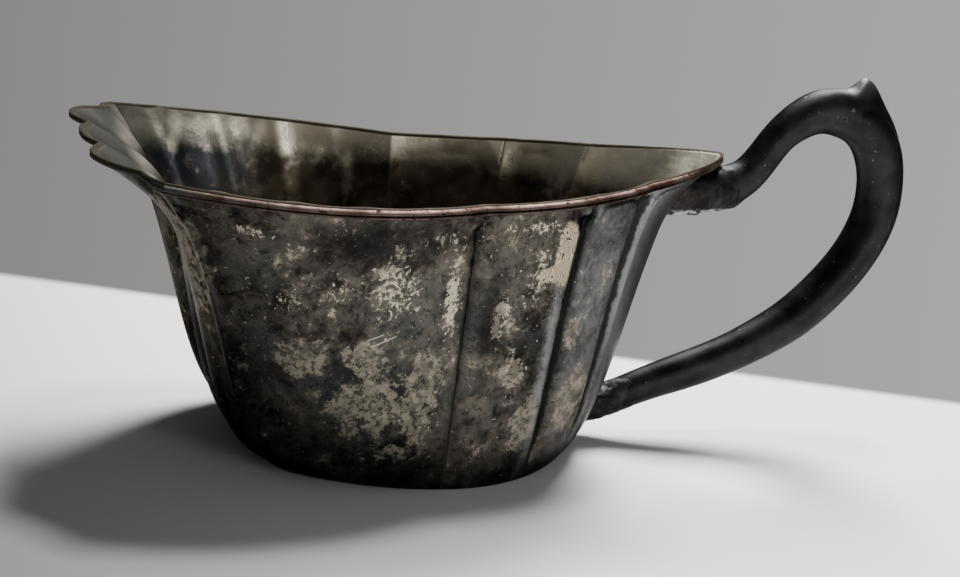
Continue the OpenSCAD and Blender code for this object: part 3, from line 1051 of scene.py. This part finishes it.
def build_handle():
    faces = close_ends(len(HANDLE_RINGS), HANDLE_POINTS)
    handle = add_mesh("jug_handle", HANDLE_RINGS.reshape(-1, 3), faces, [dark_cast_metal()])
    take_place(handle, "handle")


def lumps(points, size, scale, seed):
    """Small bumps for a rough surface: a sum of a few plane waves in fixed directions."""
    rng = np.random.default_rng(seed)
    total = np.zeros(len(points))
    for octave in range(5):
        direction = rng.normal(size=3)
        direction /= np.linalg.norm(direction)
        phase = points @ direction * scale * 1.5 ** octave + rng.uniform(0, 6)
        total += np.sin(phase) / 1.3 ** octave
    return total[:, None] * size


def on_wall(ring, inset):
    """The ring moved along X so that it lies just under the outside of the wall."""
    handle_end = OUTSIDE[OUTSIDE[:, :, 0] > 0]
    away = np.linalg.norm(handle_end[None, :, 1:] - ring[:, None, 1:], axis=2)
    moved = ring.copy()
    moved[:, 0] = handle_end[np.argmin(away, axis=1), 0] - inset
    return moved


def build_solder(name, node, wall_height, wall_size, handle_part, first_up, seed):
    """Rough collar of solder from a patch of the wall, over the handle's end rings.

    first_up is 1 if the first point of each handle ring is its highest, -1 if its lowest.
    """
    handle_end = handle_part[0]
    angle = np.linspace(0, 2 * math.pi, HANDLE_POINTS, endpoint=False)
    height, width = wall_size
    outline = np.column_stack([
        0 * angle,
        -np.sin(angle) * width / 2,
        np.cos(angle) * height / 2 * first_up,
    ])
    centre = np.array([0, 0, wall_height])
    rings = [on_wall(centre + outline * share, 0.3) for share in (0.1, 0.4, 0.7, 1.0)]
    start = rings[-1]

    # Each stage is a ring, how much it swells and how rough it is
    stages = []
    for share in np.linspace(0, 1, 14)[1:]:
        ring = start * (1 - share) + handle_end * share
        swell = 0.16 * math.sin(math.pi * share) + 0.06 * share
        stages.append((ring, swell, 0.24 - 0.14 * share))
    over_handle = handle_part[1:]
    for ring, swell in zip(over_handle, np.linspace(0.06, -0.05, len(over_handle))):
        stages.append((ring, swell, 0.06))

    for ring, swell, roughness in stages:
        middle = ring.mean(axis=0)
        away = ring - middle
        ring = middle + away * (1 + swell)
        away /= np.linalg.norm(away, axis=1)[:, None]
        rings.append(ring + away * lumps(ring, roughness, 1.1, seed))
    rings = np.array(rings)
    faces = close_ends(len(rings), HANDLE_POINTS)
    joint = add_mesh(name, rings.reshape(-1, 3), faces, [dull_solder()])
    take_place(joint, node)


def build_solders():
    lower_end = HANDLE_RINGS[:8]
    upper_end = HANDLE_RINGS[:-11:-1]
    build_solder("jug_lower_solder", "lower_solder", 6.2, (6.6, 6.2), lower_end, 1, 3)
    build_solder("jug_upper_solder", "upper_solder", 46.2, (8.6, 9.0), upper_end, -1, 5)


# ---- Stage, light and camera ----
def away_from_camera():
    """Level direction straight away from the camera."""
    a = math.radians(AZIMUTH)
    return Vector((-math.sin(a), math.cos(a), 0))


def view_axes(azimuth, elevation, roll):
    """Right, up and back directions of a camera, all angles in degrees."""
    a = math.radians(azimuth)
    e = math.radians(elevation)
    r = math.radians(roll)
    back = Vector((math.sin(a) * math.cos(e), -math.cos(a) * math.cos(e), math.sin(e)))
    level_right = Vector((math.cos(a), math.sin(a), 0))
    level_up = back.cross(level_right)
    right = level_right * math.cos(r) + level_up * math.sin(r)
    up = level_up * math.cos(r) - level_right * math.sin(r)
    return right, up, back


def build_camera():
    right, up, back = view_axes(AZIMUTH, ELEVATION, ROLL)
    data = bpy.data.cameras.new("camera")
    data.sensor_width = 36
    data.lens = data.sensor_width * FOCAL_SHARE
    data.clip_start = 0.01
    camera = bpy.data.objects.new("camera", data)
    bpy.context.scene.collection.objects.link(camera)
    axes = Matrix((right, up, back)).transposed().to_4x4()
    camera.matrix_world = Matrix.Translation((TARGET + back * DISTANCE) * MM) @ axes
    bpy.context.scene.camera = camera


def build_stage():
    """A table whose far edge is square to the line of sight."""
    away = away_from_camera()
    across = view_axes(AZIMUTH, 0, 0)[0]
    half_width = 900
    near = -1200
    far = TABLE_END + 3
    corners = []
    for distance, sideways in ((near, -1), (near, 1), (far, 1), (far, -1)):
        corners.append(away * distance + across * half_width * sideways)
    table = add_mesh("table", corners, [(0, 1, 2, 3)], [pale_floor()])


def area_light(name, azimuth, elevation, distance, size, power):
    """A soft square light that shines at the jug from that direction."""
    right, up, back = view_axes(azimuth, elevation, roll=0)
    data = bpy.data.lights.new(name, "AREA")
    data.shape = "SQUARE"
    data.size = size
    data.energy = power
    light = bpy.data.objects.new(name, data)
    bpy.context.scene.collection.objects.link(light)
    axes = Matrix((right, up, back)).transposed().to_4x4()
    light.matrix_world = Matrix.Translation(back * distance) @ axes


def build_world():
    """Plain grey surroundings, lighter towards the right and darker as a source of light."""
    world = bpy.data.worlds.new("surroundings")
    bpy.context.scene.world = world
    world.use_nodes = True
    tree = world.node_tree
    coordinates = tree.nodes.new("ShaderNodeTexCoord")
    right, _, _ = view_axes(AZIMUTH, 0, 0)

    def gradient(direction, low, high, dark, bright):
        """Strength that grows from dark to bright along a direction."""
        along = tree.nodes.new("ShaderNodeVectorMath")
        along.operation = "DOT_PRODUCT"
        along.inputs[1].default_value = direction
        tree.links.new(coordinates.outputs["Generated"], along.inputs[0])
        shade = tree.nodes.new("ShaderNodeMapRange")
        shade.inputs["From Min"].default_value = low
        shade.inputs["From Max"].default_value = high
        shade.inputs["To Min"].default_value = dark
        shade.inputs["To Max"].default_value = bright
        tree.links.new(along.outputs["Value"], shade.inputs["Value"])
        return shade.outputs[0]

    seen = gradient(right, -0.35, 0.35, 0.24, 0.50)
    given = gradient(right, -1.0, 1.0, 0.03, 0.20)
    path = tree.nodes.new("ShaderNodeLightPath")
    strength = tree.nodes.new("ShaderNodeMix")
    tree.links.new(path.outputs["Is Camera Ray"], strength.inputs["Factor"])
    tree.links.new(given, strength.inputs["A"])
    tree.links.new(seen, strength.inputs["B"])
    background = tree.nodes["Background"]
    background.inputs["Color"].default_value = (0.98, 1.0, 0.98, 1)
    tree.links.new(strength.outputs["Result"], background.inputs["Strength"])


build_wall()
build_base()
build_rim_wire()
build_handle()
build_solders()
build_stage()
build_camera()
build_world()
area_light("overhead", azimuth=140, elevation=79, distance=0.6, size=0.09, power=2.2)
area_light("front", azimuth=25, elevation=10, distance=0.6, size=0.20, power=0.95)
area_light("window", azimuth=142, elevation=50, distance=0.6, size=0.22, power=11.0)
